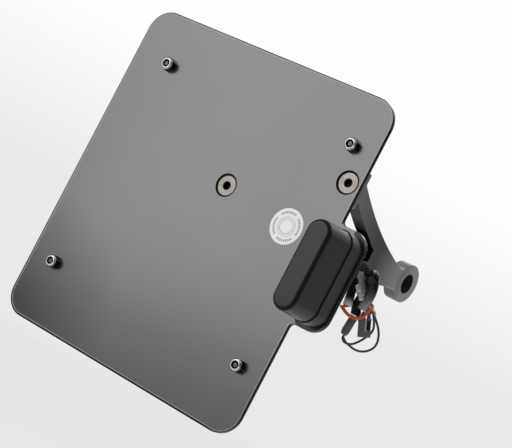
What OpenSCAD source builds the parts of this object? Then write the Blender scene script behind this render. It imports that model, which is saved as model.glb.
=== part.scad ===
// Side-mounted number plate bracket: a flat base plate with an ear for the plate light, carried by a
// machined arm whose boss is clamped under an axle bolt. Millimetres.
// Positions are measured from the base plate's lower left front corner: x along its short edge,
// y back from its front face, z up. The whole part is then set with the axle bore at the origin.

/* [Base plate] */
// Width of the base plate
plate_w = 180; // [150:1:240]
// Height of the base plate
plate_h = 200; // [190:1:260]
// Thickness of the sheet
sheet_t = 3; // [2:0.5:4]
// Corner radius
corner_r = 14; // [4:1:25]

/* [Number plate screws] */
// Distance of the right-hand screws from the right edge
screw_edge = 15.4; // [9:0.2:30]
// Distance of the top screws from the top edge
screw_top = 29.9; // [12:0.1:32]
// Height of the bottom screws
screw_low = 37.3; // [14:0.1:48]
// Distance of the top left screw from the left edge
top_left = 28; // [9:0.2:45]
// Distance of the bottom left screw from the left edge
low_left = 19.6; // [9:0.2:45]
// Thread diameter
plate_thread = 4; // [3:0.5:5]
// Width of the lock nuts across flats
nut_af = 7; // [6.6:0.1:9]
// Height of the lock nuts
nut_h = 5; // [4:0.2:7]

/* [Arm] */
// Thickness of the arm's web and boss
arm_t = 8.5; // [7:0.5:12]
// Distance of the arm's outer face inside the plate's right edge
arm_inset = 4; // [1:0.5:8]
// Thickness of the foot behind the plate
foot_t = 9.5; // [8:0.5:14]
// Half width and end radius of the foot
foot_r = 11; // [9:0.5:14]
// Depth of the limb that joins the foot to the web
limb_w = 9.5; // [7:0.5:12]
// Radius of the arm's swept upper edge
sweep_r = 270; // [230:5:330]
// Distance of the axle bore behind the plate's front face
axle_back = 105.5; // [95:0.5:125]
// Distance of the axle bore below the plate's top edge
axle_down = 79; // [76:0.5:84]
// Diameter of the axle bore
bore_d = 12; // [8:0.5:16]
// Diameter of the boss
boss_d = 23.5; // [21:0.5:28]
// Distance of the web's front edge behind the plate's front face
web_front = 51; // [42:1:60]
// Depth of the web below the limb, at its front edge
web_depth = 19; // [14:0.5:20]
// Slope of the web's lower edge
web_slope = 8; // [4:0.5:10]
// Radius that blends the web into the boss above
blend_top = 8; // [4:0.5:12]
// Radius that blends the web into the boss below
blend_low = 6; // [4:0.5:9]

/* [Arm screws] */
// Thread diameter of the countersunk screws
arm_thread = 6; // [5:0.5:6]
// Length of the countersunk screws over the head
arm_screw_l = 12; // [10:0.5:14]
// Mouth diameter of the countersinks
sink_d = 13.4; // [12:0.1:14]
// Inner screw, distance from the plate's right edge
arm_screw_in = 77.6; // [60:0.2:100]
// Inner screw, distance below the plate's top edge
arm_screw_down = 78.5; // [65:0.5:90]
// Outer screw, distance below the plate's top edge
limb_screw_down = 49; // [46:0.5:54]

/* [Plate light] */
// Half width of the light's base
lamp_r = 8.6; // [8:0.1:12]
// Distance between the end arcs of the light
lamp_pitch = 36.6; // [34:0.2:60]
// Distance of the light's centre line outside the plate's edge
lamp_out = 10.9; // [10.5:0.1:16]
// Distance of the light's centre below the plate's top edge
lamp_down = 99.8; // [97:0.1:103]
// Height of the base tray
tray_h = 12; // [9:0.5:16]
// Total height of the light
lamp_h = 35.5; // [30:0.5:48]
// Step from the base in to the cover
lamp_step = 0.6; // [0.3:0.1:1.2]
// Draft of the cover over its height
lamp_draft = 0.6; // [0.2:0.1:1.2]
// Wall thickness of the mouldings
lamp_wall = 1.8; // [1.4:0.1:2.2]
// Length of the window
window_l = 34; // [20:1:36]
// Distance of the window behind the light's front
window_rest = 6.5; // [5:0.5:9]
// Thread diameter of the light's bolts
lamp_thread = 5; // [4:0.5:5]
// Side margin of the ear round the light
ear_side = 0.9; // [0.5:0.1:3]
// End margin of the ear round the light
ear_end = 2.4; // [1:0.1:5]
// Corner radius of the ear
ear_r = 10; // [6:0.5:11]

/* [Sticker] */
// Diameter of the round sticker
sticker_d = 20.6; // [15:0.2:25]
// Distance of its centre from the plate's right edge
sticker_in = 29.7; // [26:0.1:40]
// Distance of its centre below the plate's top edge
sticker_down = 84.4; // [78:0.1:100]

/* [Wiring] */
// Diameter of the black lamp cable
cable_d = 4; // [3.5:0.1:4.6]
// Diameter of each lead
lead_d = 1.3; // [1:0.05:1.4]
// Radius of the elbow boot's lower end
boot_r = 3.1; // [2.8:0.1:3.3]

/* [Hidden] */
$fn = 64;
eps = 0.01;
// Clearance between a screw and its hole, and between moulded pieces
fit_gap = 0.1;
// Gap at which one loose piece rests on another
rest_gap = 0.25;

// Sideways places
arm_face = plate_w - arm_inset;
arm_mid = arm_face - arm_t / 2;
axle_z = plate_h - axle_down;
lamp_x = plate_w + lamp_out;
lamp_z = plate_h - lamp_down;
ear_edge = lamp_x + lamp_r + ear_side;
ear_low = lamp_z - lamp_pitch / 2 - lamp_r - ear_end;
ear_high = lamp_z + lamp_pitch / 2 + lamp_r + ear_end;
ear_fillet = 3;
foot_back = sheet_t + foot_t;

// Screw places as [x, z]
plate_screw_places = [
    [top_left, plate_h - screw_top],
    [plate_w - screw_edge, plate_h - screw_top],
    [low_left, screw_low],
    [plate_w - screw_edge, screw_low]];
// Each nut stopped at its own turn when it was run up
nut_turns = [30, 30, 20, 0];
arm_screw_places = [[plate_w - arm_screw_in, plate_h - arm_screw_down],
    [arm_mid, plate_h - limb_screw_down]];
lamp_bolt_places = [for (s = [-1, 1]) [lamp_x, lamp_z + s * lamp_pitch / 2]];

// Sizes of the small fasteners
plate_head_r = plate_thread * 0.95;
plate_head_h = plate_thread * 0.55;
plate_key = 2.5;
collar_r = nut_af * 0.45;
collar_h = 1.3;
lip_t = 0.4;
insert_r = plate_thread / 2 + 0.65;
arm_key = 4;
head_sink = 0.7;
bolt_head_r = 4.25;
bolt_head_h = 2.5;
washer_r = lamp_thread;
washer_t = 1;
lamp_nut_af = lamp_thread * 1.6;
lamp_nut_h = lamp_thread * 0.8;

// Light mouldings
cover_foot_r = lamp_r - lamp_step;
cover_top_r = cover_foot_r - lamp_draft;
cover_round = 2.4;
base_round = 0.8;
lip_h = 2;
window_y = tray_h + 5;
window_h = lamp_h - window_rest - window_y;
board_t = 1.2;
board_front = lamp_h - lamp_wall - 1.7;
board_back = tray_h + lip_h;
board_l = 26;
board_x = 1.4;
rib_t = 1.6;
chip_w = 3;
chip_t = 0.8;
chip_count = 4;

// The arm's outline, in [y, z]
axle = [axle_back, axle_z];
sweep_past = 37.5;
sweep_c = [axle_back + sweep_past, axle_z + sweep_r + 0.5];
boss_r = boss_d / 2;
web_low = sweep_c[1] - sqrt(pow(sweep_r + limb_w, 2) - pow(sweep_c[0] - web_front, 2)) - web_depth;

// The cable bundle has a frame of its own behind the ear: along, across and up, with its heights
// given as they are when the light's centre is at bundle_datum
bundle_datum = 100.2;
bundle = [lamp_x - 2.9, 42.2, lamp_z - bundle_datum];
bundle_turn = 32;
boot_low = 94.5;
boot_knee = [3.6, 0, 105];
boot_head = [0.2, 0, 112.4];
head_r = 4.3;
elbow_r = 3;
elbow_l = 6.6;
elbow_rise = 18;
boot_wall = 0.5;
spare_r = 2.7;
spare_low = [-4.9, 0, 93.1];
spare_lean = 10.6;
spare_l = 12.6;
core_r = 3.1;
core_place = [1.1, 0.6];
core_low = 90.1;
stem_r = 2;
stem_place = [-1, 2.6];
stem_top = 100.6;
terminal_low = [0.6, -4, 99];
terminal_lean = 40;
plug_r = 2.35;
plug_low = [0.55, 1.2, 77.9];
plug_lean = 3.7;
plug_tip_r = 1.65;
socket_w = 7.2;
socket_t = 4.2;
socket_l = 10.4;
socket_top = [7, -1, 91.3];
socket_lean = 23;
mouth_l = 5.4;
neck_place = [5.4, -1.7];
neck_low = 88;
band_t = 1.7;
grommet_r = 5.2;
grommet_h = 2;

// Points on the socket's top and on the plug's tip, and a little out of them, in the bundle's frame
function socket_end(a, b, out) = socket_top + [0, b, 0] + a * [cos(socket_lean), 0, sin(socket_lean)]
    + out * [-sin(socket_lean), 0, cos(socket_lean)];
function plug_end(a, b, out) = plug_low + [0, b, 0] + a * [cos(plug_lean), 0, -sin(plug_lean)]
    - out * [sin(plug_lean), 0, cos(plug_lean)];

// Routes, chosen by hand. The lamp cable runs from its grommet to the elbow boot's stub: [across, back,
// up] from the grommet's centre
stub_way = [0, -cos(elbow_rise), sin(elbow_rise)];
stub_end = [bundle[0] - lamp_x + boot_head[0] * cos(bundle_turn),
    bundle[1] + boot_head[0] * sin(bundle_turn), boot_head[2] + bundle[2] - lamp_z] + elbow_l * stub_way;
cable_route = [[0, sheet_t + grommet_h, 0], [0, 8, 0], [-0.1, 11.2, 1.4], [-0.4, 14, 4.4],
    [-0.8, 16.4, 8], [-1.3, 19, 11.6], [-1.8, 22.2, 14.6], [-2.3, 26, 16.3], [-2.6, 29.6, 16.2],
    stub_end + 3.2 * stub_way, stub_end];
// The two leads and the band, in the bundle's frame
black_route = [socket_end(2.4, 1, 0), socket_end(2.4, 1, 1.2), [8.1, 1.3, 95], [8, 3, 96.6], [9, 4.3, 97],
    [10.4, 4.3, 95.9], [12.2, 3.7, 93.9], [14.3, 3.2, 91.8], [16.6, 2.9, 89], [18.4, 2.9, 85.6],
    [19.2, 3, 81.1], [17.9, 3, 77.6], [14.5, 3, 74.6], [10.7, 2.9, 73.5], [6.8, 2.8, 73.9],
    [3.6, 2.4, 74.9], [1.7, 2.1, 76.2], plug_end(0.6, 0.75, 0.8), plug_end(0.6, 0.75, 0)];
blue_route = [socket_end(1.5, -0.9, 0), socket_end(1.5, -0.9, 1.2), [7.8, -2.3, 94.4], [8.5, -2.2, 95.7],
    [9.7, -1.5, 95.4], [10.9, -0.6, 93.8], [12.6, 0.6, 91.2], [13.8, 1.5, 88], [13.6, 2, 85],
    [12, 2.2, 81.7], [9.6, 1.8, 78], [6.7, 1.1, 75.2], [4, 0.6, 74.4], [2, 0.45, 74.9],
    plug_end(0.4, -0.75, 1.3), plug_end(0.4, -0.75, 0)];
band_route = [[7.8, -0.6, 98.3], [7.1, -3.2, 96.6], [6.2, -4.4, 93.8], [4.9, -4.9, 91], [2.4, -5, 89.1],
    [-0.9, -4.9, 88.6], [-4, -4.6, 89.3], [-6.2, -3.6, 90.4], [-7.3, -1.5, 91.1], [-7.5, 0.8, 91.3],
    [-6.8, 3, 91.6], [-4.8, 4.9, 93], [-1.9, 5.6, 95.2], [1.4, 5.3, 97.4], [4.6, 4.6, 98.9],
    [7, 2.8, 99.4]];

function bundle_point(p) = [
    bundle[0] + p[0] * cos(bundle_turn) - p[1] * sin(bundle_turn),
    bundle[1] + p[0] * sin(bundle_turn) + p[1] * cos(bundle_turn),
    bundle[2] + p[2]];
function cable_point(p) = [lamp_x + p[0], p[1], lamp_z + p[2]];

// One of the two points at distance r1 from c1 and r2 from c2
function circles_meet(c1, r1, c2, r2, side) =
    let (v = c2 - c1, d = norm(v), a = (d * d + r1 * r1 - r2 * r2) / (2 * d), h = sqrt(r1 * r1 - a * a))
    c1 + v * a / d + side * h * [-v[1], v[0]] / d;

// Sets the part with its axle bore at the origin
module placed() {
    translate([-arm_mid, -axle_back, -axle_z]) children();
}

// Stands a shape drawn in [x, z] up behind the plane y, h thick towards the back
module slab(y, h) {
    translate([0, y, 0]) rotate([90, 0, 0]) mirror([0, 0, 1]) linear_extrude(h) children();
}

// A round body about the y axis at place [x, z]; its profile is drawn as [radius, y]
module turned(place) {
    translate([place[0], 0, place[1]]) rotate([-90, 0, 0]) rotate_extrude() children();
}

// A rod about the y axis at place [x, z], from y0 to y1
module rod_y(place, r, y0, y1) {
    translate([place[0], y0, place[1]]) rotate([-90, 0, 0]) cylinder(r = r, h = y1 - y0);
}

// A hexagonal prism about the y axis
module hex_y(place, af, y0, y1, turn) {
    translate([place[0], y0, place[1]]) rotate([-90, 0, 0]) rotate([0, 0, -turn])
        cylinder(d = af / cos(30), h = y1 - y0, $fn = 6);
}

// A rectangle with rounded corners
module rounded(x0, z0, x1, z1, r) {
    translate([x0 + r, z0]) square([x1 - x0 - 2 * r, z1 - z0]);
    translate([x0, z0 + r]) square([x1 - x0, z1 - z0 - 2 * r]);
    for (x = [x0 + r, x1 - r], z = [z0 + r, z1 - r]) translate([x, z]) circle(r = r);
}

// Fills the inner corner at [x, z]; the open quarter lies towards sx, sz
module inner_fillet(x, z, sx, sz, r) {
    difference() {
        translate([x + (sx < 0 ? -r : -eps), z + (sz < 0 ? -r : -eps)]) square(r + eps);
        translate([x + sx * r, z + sz * r]) circle(r = r);
    }
}

// The seat of a countersunk head, cut 90 degrees from the plate's front face
module countersink(place) {
    turned(place) polygon([[0, -eps], [sink_d / 2 + eps, -eps], [arm_thread / 2 + fit_gap,
        (sink_d - arm_thread) / 2 - fit_gap], [0, (sink_d - arm_thread) / 2 - fit_gap]]);
}

module base_plate() {
    color([0.47, 0.47, 0.48]) placed() difference() {
        slab(0, sheet_t) {
            rounded(0, 0, plate_w, plate_h, corner_r);
            rounded(plate_w - 2 * ear_r, ear_low, ear_edge, ear_high, ear_r);
            inner_fillet(plate_w, ear_high, 1, 1, ear_fillet);
            inner_fillet(plate_w, ear_low, 1, -1, ear_fillet);
        }
        for (p = plate_screw_places) rod_y(p, plate_thread / 2 + 2 * fit_gap, -1, sheet_t + 1);
        for (p = lamp_bolt_places) rod_y(p, lamp_thread / 2 + 2 * fit_gap, -1, sheet_t + 1);
        rod_y([lamp_x, lamp_z], cable_d / 2 + 1.5, -1, sheet_t + 1);
        for (p = arm_screw_places) {
            rod_y(p, arm_thread / 2 + fit_gap, -1, sheet_t + 1);
            countersink(p);
        }
    }
}

// The foot: a round-ended bar between the two screws, cut flush with the web's outer face
module foot_outline() {
    a = arm_screw_places[0];
    b = arm_screw_places[1];
    run = b - a;
    intersection() {
        union() {
            for (p = [a, b]) translate(p) circle(r = foot_r);
            translate(a) rotate(atan2(run[1], run[0])) translate([0, -foot_r])
                square([norm(run), 2 * foot_r]);
        }
        translate([0, 0]) square([arm_face, plate_h]);
    }
}

// The points of an arc about c from angle a0 to angle a1, in n steps
function arc_points(c, r, a0, a1, n) =
    [for (i = [0 : n]) let (a = a0 + (a1 - a0) * i / n) c + r * [cos(a), sin(a)]];

// The angle, on an arc of radius r about the sweep's centre, at the distance y behind the plate
function sweep_angle(r, y) = -acos((y - sweep_c[0]) / r);

// The direction of v as an angle
function heading(v) = atan2(v[1], v[0]);

// The web seen from the side, in [y, z]: a limb swept back from the foot, the deep web and the boss.
// The blends run 0.03 into the boss, which keeps its own round face
module web_outline() {
    slope = [cos(web_slope), sin(web_slope)];
    down = [sin(web_slope), -cos(web_slope)];
    corner = [web_front, web_low];
    top_c = circles_meet(sweep_c, sweep_r - blend_top, axle, boss_r + blend_top, -1);
    // The lower blend's centre: blend_low under the edge and clear of the boss by the same amount
    rel = corner + down * blend_low - axle;
    half = rel * slope;
    reach = -half - sqrt(half * half - rel * rel + pow(boss_r + blend_low, 2));
    low_c = axle + rel + slope * reach;
    under = sweep_r + limb_w;
    polygon(concat(
        arc_points(sweep_c, sweep_r, sweep_angle(sweep_r, sheet_t), heading(top_c - sweep_c), 14),
        arc_points(top_c, blend_top + 0.03, heading(top_c - sweep_c) + 5, heading(axle - top_c), 7),
        [axle],
        arc_points(low_c, blend_low + 0.03, heading(axle - low_c), heading(-down) - 6, 7),
        [corner],
        arc_points(sweep_c, under, sweep_angle(under, web_front), sweep_angle(under, sheet_t), 8)));
    translate(axle) circle(r = boss_r);
}

module arm() {
    color([0.36, 0.36, 0.37]) placed() difference() {
        union() {
            slab(sheet_t, foot_t) foot_outline();
            translate([arm_face - arm_t, 0, 0]) rotate([90, 0, 90]) linear_extrude(arm_t) web_outline();
        }
        translate([arm_face - arm_t - 1, axle_back, axle_z]) rotate([0, 90, 0])
            cylinder(d = bore_d, h = arm_t + 2);
        for (p = arm_screw_places) {
            rod_y(p, arm_thread / 2 + fit_gap, sheet_t - 1, foot_back + 1);
            countersink(p);
        }
    }
}

module arm_screws() {
    r = arm_thread / 2;
    rim = sink_d / 2 - head_sink - fit_gap;
    color([0.8, 0.78, 0.74]) placed() for (p = arm_screw_places) difference() {
        turned(p) polygon([[0, head_sink], [rim, head_sink], [r, head_sink + rim - r],
            [r, arm_screw_l - 0.2], [r - 0.5, arm_screw_l + 0.3], [0, arm_screw_l + 0.3]]);
        hex_y(p, arm_key, head_sink - 1, head_sink + 2.6, 12);
    }
}

module plate_screws() {
    r = plate_thread / 2;
    color([0.35, 0.35, 0.36]) placed() for (p = plate_screw_places) difference() {
        turned(p) {
            translate([0, 0.9 - nut_h]) square([r, nut_h + sheet_t]);
            polygon([[0, 0.4 - nut_h], [r * 0.7, 0.5 - nut_h], [r, 1 - nut_h], [0, 1 - nut_h]]);
            polygon([[0, sheet_t], [plate_head_r, sheet_t], [plate_head_r, sheet_t + 0.5],
                [plate_head_r * 0.86, sheet_t + plate_head_h * 0.7],
                [plate_head_r * 0.55, sheet_t + plate_head_h], [0, sheet_t + plate_head_h]]);
        }
        hex_y(p, plate_key, sheet_t + plate_head_h - 1.3, sheet_t + plate_head_h + 1, 0);
    }
}

module lock_nuts() {
    hex_h = nut_h - collar_h;
    corner = nut_af / 2 / cos(30);
    bore = plate_thread / 2 + fit_gap;
    color([0.72, 0.72, 0.72]) placed() for (i = [0 : 3]) difference() {
        union() {
            intersection() {
                hex_y(plate_screw_places[i], nut_af, -hex_h, 0, nut_turns[i]);
                turned(plate_screw_places[i]) polygon([[0, 0], [corner - 0.35, 0], [corner + 0.05, -0.3],
                    [corner + 0.05, 0.5 - hex_h], [collar_r + 0.15, -hex_h], [0, -hex_h]]);
            }
            turned(plate_screw_places[i]) polygon([[0, -hex_h + 0.2], [collar_r, -hex_h + 0.2],
                [collar_r, 0.5 - nut_h], [collar_r - 0.3, 0.1 - nut_h], [collar_r - 0.5, -nut_h],
                [0, -nut_h]]);
        }
        turned(plate_screw_places[i]) polygon([[0, 1], [bore, 1], [bore, -hex_h + 0.1],
            [insert_r + fit_gap, -hex_h + 0.1], [insert_r + fit_gap, lip_t - nut_h],
            [insert_r - 0.3, lip_t - nut_h], [insert_r - 0.3, -nut_h - 1], [0, -nut_h - 1]]);
    }
}

module nut_inserts() {
    low = lip_t - nut_h;
    high = collar_h - nut_h + 0.1;
    color([0.12, 0.12, 0.13]) placed() for (p = plate_screw_places) turned(p)
        translate([plate_thread / 2 + fit_gap / 2, low + fit_gap / 2])
            square([insert_r - plate_thread / 2 - fit_gap / 2, high - low - fit_gap]);
}

// Half the section of a round-ended moulding, in [radius, y]: r0 at y = 0 to r1 at y = -h,
// with the front edge rounded to radius e
module half_section(r0, r1, h, e) {
    polygon([[0, 0], [r0, 0], [r1, -h + e], [r1 - e, -h], [0, -h]]);
    translate([r1 - e, -h + e]) circle(r = e);
}

// A round-ended moulding standing on the plane y, its arcs pitch apart
module moulding(y, r0, r1, h, e, pitch) {
    translate([lamp_x, y, lamp_z]) {
        for (s = [-1, 1]) translate([0, 0, s * pitch / 2]) rotate([-90, 0, 0]) rotate_extrude()
            intersection() {
                half_section(r0, r1, h, e);
                translate([0, -h]) square([r0, h]);
            }
        translate([0, 0, -pitch / 2]) linear_extrude(pitch) {
            half_section(r0, r1, h, e);
            mirror([1, 0]) half_section(r0, r1, h, e);
        }
    }
}

module light_base() {
    inner = lamp_r - lamp_wall;
    color([0.07, 0.07, 0.075]) placed() difference() {
        union() {
            moulding(0, lamp_r, lamp_r, tray_h, base_round, lamp_pitch);
            moulding(-tray_h + 1, cover_foot_r - lamp_wall - fit_gap, cover_foot_r - lamp_wall - fit_gap,
                lip_h + 1, 0.3, lamp_pitch);
        }
        moulding(-lamp_wall - 1, inner - 0.8, inner - 0.8, tray_h + lip_h, 0.3, lamp_pitch);
        for (p = lamp_bolt_places) rod_y(p, lamp_thread / 2 + 2 * fit_gap, -lamp_h, 1);
        rod_y([lamp_x, lamp_z], cable_d / 2 + 0.2, -lamp_wall - 2, 1);
    }
    // The rib that carries the circuit board
    color([0.07, 0.07, 0.075]) placed()
        translate([lamp_x + board_x, 1 - board_front, lamp_z - board_l / 2 + 1])
            cube([rib_t, board_front - 2 - lamp_wall, board_l - 2]);
}

module window_block(grow) {
    translate([lamp_x - lamp_r - 1, -window_y - window_h - grow, lamp_z - window_l / 2 - grow])
        cube([lamp_r - 2, window_h + 2 * grow, window_l + 2 * grow]);
}

module light_cover() {
    h = lamp_h - tray_h;
    color([0.08, 0.08, 0.085]) placed() difference() {
        moulding(-tray_h, cover_foot_r, cover_top_r, h, cover_round, lamp_pitch);
        moulding(-tray_h + 1, cover_foot_r - lamp_wall, cover_top_r - lamp_wall, h + 1 - lamp_wall,
            cover_round - 1, lamp_pitch);
        window_block(0);
    }
}

module light_lens() {
    h = lamp_h - tray_h;
    color([0.85, 0.9, 0.92, 0.5]) placed() intersection() {
        difference() {
            moulding(-tray_h, cover_foot_r - 0.2, cover_top_r - 0.2, h, cover_round, lamp_pitch);
            moulding(-tray_h + 1, cover_foot_r - lamp_wall, cover_top_r - lamp_wall, h + 1 - lamp_wall,
                cover_round - 1, lamp_pitch);
        }
        window_block(-fit_gap);
    }
}

module led_board() {
    color([0.12, 0.3, 0.16]) placed()
        translate([lamp_x + board_x - board_t, -board_front, lamp_z - board_l / 2])
            cube([board_t, board_front - board_back, board_l]);
}

module led_chips() {
    color([0.95, 0.9, 0.55]) placed() for (i = [0 : chip_count - 1])
        translate([lamp_x + board_x - board_t - chip_t, -window_y - window_h / 2 - chip_w / 2,
            lamp_z + (i - (chip_count - 1) / 2) * (board_l - chip_w - 2) / (chip_count - 1) - chip_w / 2])
            cube([chip_t, chip_w, chip_w]);
}

module light_bolts() {
    r = lamp_thread / 2;
    top = -lamp_wall - 1;
    end = sheet_t + washer_t + lamp_nut_h + 2;
    color([0.75, 0.75, 0.74]) placed() for (p = lamp_bolt_places) difference() {
        turned(p) polygon([[0, top - bolt_head_h], [bolt_head_r - 0.3, top - bolt_head_h],
            [bolt_head_r, top - bolt_head_h + 0.3], [bolt_head_r, top], [r, top], [r, end - 0.5],
            [r - 0.5, end], [0, end]]);
        hex_y(p, 3, top - bolt_head_h - 1, top - 0.9, 0);
    }
}

module light_washers() {
    color([0.75, 0.75, 0.74]) placed() for (p = lamp_bolt_places) difference() {
        rod_y(p, washer_r, sheet_t, sheet_t + washer_t);
        rod_y(p, lamp_thread / 2 + 2 * fit_gap, sheet_t - 1, sheet_t + washer_t + 1);
    }
}

module light_nuts() {
    seat = sheet_t + washer_t;
    corner = lamp_nut_af / 2 / cos(30) + 0.05;
    color([0.75, 0.75, 0.74]) placed() for (p = lamp_bolt_places) difference() {
        intersection() {
            hex_y(p, lamp_nut_af, seat, seat + lamp_nut_h, 15);
            turned(p) polygon([[0, seat], [corner - 0.5, seat], [corner, seat + 0.4],
                [corner, seat + lamp_nut_h - 0.4], [corner - 0.5, seat + lamp_nut_h],
                [0, seat + lamp_nut_h]]);
        }
        rod_y(p, lamp_thread / 2 + fit_gap, seat - 1, seat + lamp_nut_h + 1);
    }
}

// A solid rubber plug: neck in the ear's hole and a tapered flange behind it
module cable_grommet() {
    color([0.1, 0.1, 0.1]) placed() turned([lamp_x, lamp_z]) polygon([[0, 0],
        [cable_d / 2 + 1.5 - fit_gap, 0], [cable_d / 2 + 1.5 - fit_gap, sheet_t], [grommet_r, sheet_t],
        [grommet_r, sheet_t + grommet_h * 0.5], [cable_d / 2 + 1, sheet_t + grommet_h],
        [0, sheet_t + grommet_h]]);
}

// A tube of diameter d with n sides along the points of a route
module cord(route, d, n) {
    last = len(route) - 1;
    tangent = [for (i = [0 : last]) let (v = route[min(i + 1, last)] - route[max(i - 1, 0)]) v / norm(v)];
    side = [for (i = 0, u = [0.6, -0.8, 0.05]; i <= last; i = i + 1,
        u = i <= last ? u - tangent[i] * (u * tangent[i]) : u) u - tangent[i] * (u * tangent[i])];
    rings = [for (i = [0 : last]) let (u = side[i] / norm(side[i]), v = cross(tangent[i], u))
        for (k = [0 : n - 1]) route[i] + d / 2 * (u * cos(360 * k / n) + v * sin(360 * k / n))];
    polyhedron(rings, concat(
        [[for (k = [0 : n - 1]) k]],
        [for (i = [0 : last - 1], k = [0 : n - 1]) let (m = (k + 1) % n)
            [i * n + k, (i + 1) * n + k, (i + 1) * n + m, i * n + m]],
        [[for (k = [n - 1 : -1 : 0]) last * n + k]]));
}

// A closed loop of diameter d with n sides through the points of a route; up is roughly its normal
module loop(route, d, n, up) {
    m = len(route);
    rings = [for (i = [0 : m - 1]) let (t = route[(i + 1) % m] - route[(i + m - 1) % m], c = cross(t, up),
        u = c / norm(c), w = cross(u, t / norm(t)))
        for (k = [0 : n - 1]) route[i] + d / 2 * (u * cos(360 * k / n) + w * sin(360 * k / n))];
    polyhedron(rings, [for (i = [0 : m - 1], k = [0 : n - 1]) let (j = (i + 1) % m, q = (k + 1) % n)
        [i * n + k, i * n + q, j * n + q, j * n + k]]);
}

module lamp_cable() {
    color([0.09, 0.09, 0.09]) placed() cord([for (p = cable_route) cable_point(p)], cable_d, 12);
}

module black_lead() {
    color([0.16, 0.19, 0.18]) placed() cord([for (p = black_route) bundle_point(p)], lead_d, 8);
}

module blue_lead() {
    color([0.15, 0.17, 0.4]) placed() cord([for (p = blue_route) bundle_point(p)], lead_d, 8);
}

module rubber_band() {
    color([0.85, 0.25, 0.12]) placed() loop([for (p = band_route) bundle_point(p)], band_t, 8,
        [0.4, -0.6, 0.7]);
}

// Sets a shape in the bundle's frame
module in_bundle() {
    placed() translate(bundle) rotate([0, 0, bundle_turn]) children();
}

// A curved rubber boot: a stub that takes the cable, a round head and a tube bent down to its open end
module elbow_boot() {
    run = boot_head - boot_knee;
    color([0.08, 0.08, 0.08]) in_bundle() difference() {
        union() {
            translate([boot_knee[0], 0, boot_low]) cylinder(r = boot_r, h = boot_knee[2] - boot_low);
            translate(boot_knee) sphere(r = boot_r + 0.04);
            translate(boot_knee) rotate([0, atan2(run[0], run[2]), 0])
                cylinder(r1 = boot_r, r2 = head_r - 0.15, h = norm(run));
            translate(boot_head) sphere(r = head_r);
            translate(boot_head) rotate([90 - elbow_rise, 0, -bundle_turn]) cylinder(r = elbow_r, h = elbow_l);
        }
        // The wall shows as a shallow step at the open end, in front of the plug
        translate([boot_knee[0], 0, boot_low]) intersection() {
            difference() {
                cylinder(r = boot_r - boot_wall, h = 1.6, center = true);
                cylinder(r = boot_r - 1.1, h = 3, center = true);
            }
            translate([-boot_r, -boot_r, -1]) cube([2 * boot_r, boot_r - 2.2, 2]);
        }
    }
}

module spare_boot() {
    color([0.1, 0.1, 0.1]) in_bundle() translate(spare_low) rotate([0, -spare_lean, 0]) difference() {
        cylinder(r = spare_r, h = spare_l);
        translate([0, 0, -1]) cylinder(r = spare_r - 1.6 * boot_wall, h = 5);
    }
}

// A tinned bullet on its crimp, lying across the two boots
module bullet_terminal() {
    color([0.85, 0.83, 0.78]) in_bundle() translate(terminal_low) rotate([0, -terminal_lean, 0])
        rotate_extrude() polygon([[0, 0], [1.1, 0], [1.4, 0.4], [1.4, 4], [1, 4.4], [1, 5], [1.6, 5.5],
            [1.6, 8.2], [1.1, 9], [0, 9.2]]);
}

// The taped joint inside the band: a drum under the elbow boot and a stem up behind the boots
module core_sleeve() {
    color([0.06, 0.06, 0.06]) in_bundle() {
        translate([core_place[0], core_place[1], core_low])
            cylinder(r1 = core_r - 0.6, r2 = core_r, h = boot_low - 1.6 * rest_gap - core_low);
        translate([stem_place[0], stem_place[1], boot_low - 1.6])
            cylinder(r = stem_r, h = stem_top - boot_low + 1.6);
    }
}

module plug_sleeve() {
    length = (core_low - rest_gap - 0.1 - plug_low[2]) / cos(plug_lean);
    color([0.2, 0.2, 0.2]) in_bundle() translate(plug_low) rotate([0, plug_lean, 0]) rotate_extrude()
        polygon([[0, 0], [plug_tip_r, 0], [plug_r, 1.9], [plug_r, length], [0, length]]);
}

// A flat sleeve that leans away from the plug, with a mouth in its right-hand side and a round neck
module socket_sleeve() {
    color([0.24, 0.24, 0.25]) in_bundle() difference() {
        union() {
            translate(socket_top) rotate([0, -socket_lean, 0]) translate([0, 0, -socket_l])
                linear_extrude(socket_l) flat_round(socket_w, socket_t, 1.3);
            translate([neck_place[0], neck_place[1], neck_low])
                cylinder(r = 1.5, h = boot_low - rest_gap - neck_low);
        }
        translate(socket_top) rotate([0, -socket_lean, 0]) {
            translate([0.9, -socket_t, -6.4]) cube([socket_w, socket_t + 1.1, mouth_l]);
            translate([-0.2, 0, -socket_l - 1]) linear_extrude(mouth_l)
                flat_round(socket_w - 2.2, socket_t - 1.6, 0.9);
        }
    }
}

// A rectangle about the origin with rounded corners
module flat_round(w, t, r) {
    rounded(-w / 2, -t / 2, w / 2, t / 2, r);
}

module round_sticker() {
    color([0.9, 0.9, 0.9]) placed() rod_y([plate_w - sticker_in, plate_h - sticker_down], sticker_d / 2, -0.2, 0);
}

base_plate();
arm();
arm_screws();
plate_screws();
lock_nuts();
nut_inserts();
light_base();
light_cover();
light_lens();
led_board();
led_chips();
light_bolts();
light_washers();
light_nuts();
cable_grommet();
lamp_cable();
elbow_boot();
spare_boot();
bullet_terminal();
core_sleeve();
plug_sleeve();
socket_sleeve();
rubber_band();
black_lead();
blue_lead();
round_sticker();
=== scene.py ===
# %% [markdown]
# # A side-mounted number plate bracket
#
# The object is a flat grey plate that carries a motorcycle's number plate beside the rear wheel.
# A machined arm runs back from it to the axle, a small black light sits on an ear of the plate, and
# the light's cable ends behind the ear in a tied bundle of rubber boots.
#
# The solids already exist. This lesson gives them their looks: softened edges, a finish for each
# material, the soft rubber and wire pieces, and a plain studio. Blender measures in metres here,
# with the centre of the axle bore at the origin.

# %% Load the solids
from math import cos, pi, radians, sin

import bpy
from mathutils import Matrix, Vector


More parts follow.
